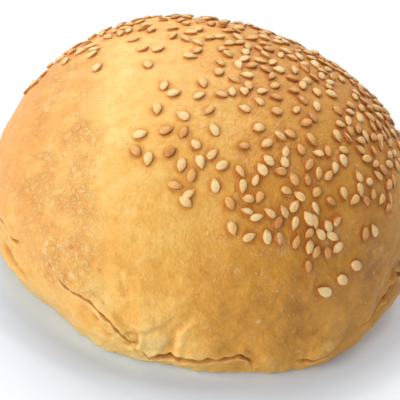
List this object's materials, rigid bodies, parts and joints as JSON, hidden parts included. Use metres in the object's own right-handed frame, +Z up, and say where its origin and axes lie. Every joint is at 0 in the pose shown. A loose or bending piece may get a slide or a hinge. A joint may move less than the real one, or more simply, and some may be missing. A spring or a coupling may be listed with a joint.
{
  "type": "sesame seed roll",
  "caption": "Round domed bread roll with a satin golden crust, sesame seeds sprinkled over the crown, a shallow fold above the foot and a flat underside to rest on.",
  "frame": {"origin": "middle of the flat underside, which stands on the surface", "axes": "+Z up through the crown, -Y towards the front where the seeds thin out singly, +X to the right seen from the front"},
  "size_m": [0.0956, 0.0959, 0.0518],
  "materials": {
    "crust": "satin baked bread crust, golden yellow shading to orange brown, soft and slightly wrinkled",
    "sesame": "dry hulled sesame seed, creamy white with some toasted to tan, semi-matt"
  },
  "bodies": {
    "root": {"bread": "crust", "sesame_seed_01": "sesame", "sesame_seed_02": "sesame", "sesame_seed_03": "sesame", "sesame_seed_04": "sesame", "sesame_seed_05": "sesame", "sesame_seed_06": "sesame", "sesame_seed_07": "sesame", "sesame_seed_08": "sesame", "sesame_seed_09": "sesame", "sesame_seed_10": "sesame", "sesame_seed_11": "sesame", "sesame_seed_12": "sesame", "sesame_seed_13": "sesame", "sesame_seed_14": "sesame", "sesame_seed_15": "sesame", "sesame_seed_16": "sesame", "sesame_seed_17": "sesame", "sesame_seed_18": "sesame", "sesame_seed_19": "sesame", "sesame_seed_20": "sesame", "sesame_seed_21": "sesame", "sesame_seed_22": "sesame", "sesame_seed_23": "sesame", "sesame_seed_24": "sesame", "sesame_seed_25": "sesame", "sesame_seed_26": "sesame", "sesame_seed_27": "sesame", "sesame_seed_28": "sesame", "sesame_seed_29": "sesame", "sesame_seed_30": "sesame", "sesame_seed_31": "sesame", "sesame_seed_32": "sesame", "sesame_seed_33": "sesame", "sesame_seed_34": "sesame", "sesame_seed_35": "sesame", "sesame_seed_36": "sesame", "sesame_seed_37": "sesame", "sesame_seed_38": "sesame", "sesame_seed_39": "sesame", "sesame_seed_40": "sesame", "sesame_seed_41": "sesame", "sesame_seed_42": "sesame", "sesame_seed_43": "sesame", "sesame_seed_44": "sesame", "sesame_seed_45": "sesame", "sesame_seed_46": "sesame", "sesame_seed_47": "sesame", "sesame_seed_48": "sesame", "sesame_seed_49": "sesame", "sesame_seed_50": "sesame", "sesame_seed_51": "sesame", "sesame_seed_52": "sesame", "sesame_seed_53": "sesame", "sesame_seed_54": "sesame", "sesame_seed_55": "sesame", "sesame_seed_56": "sesame", "sesame_seed_57": "sesame", "sesame_seed_58": "sesame", "sesame_seed_59": "sesame"}
  },
  "joints": []
}
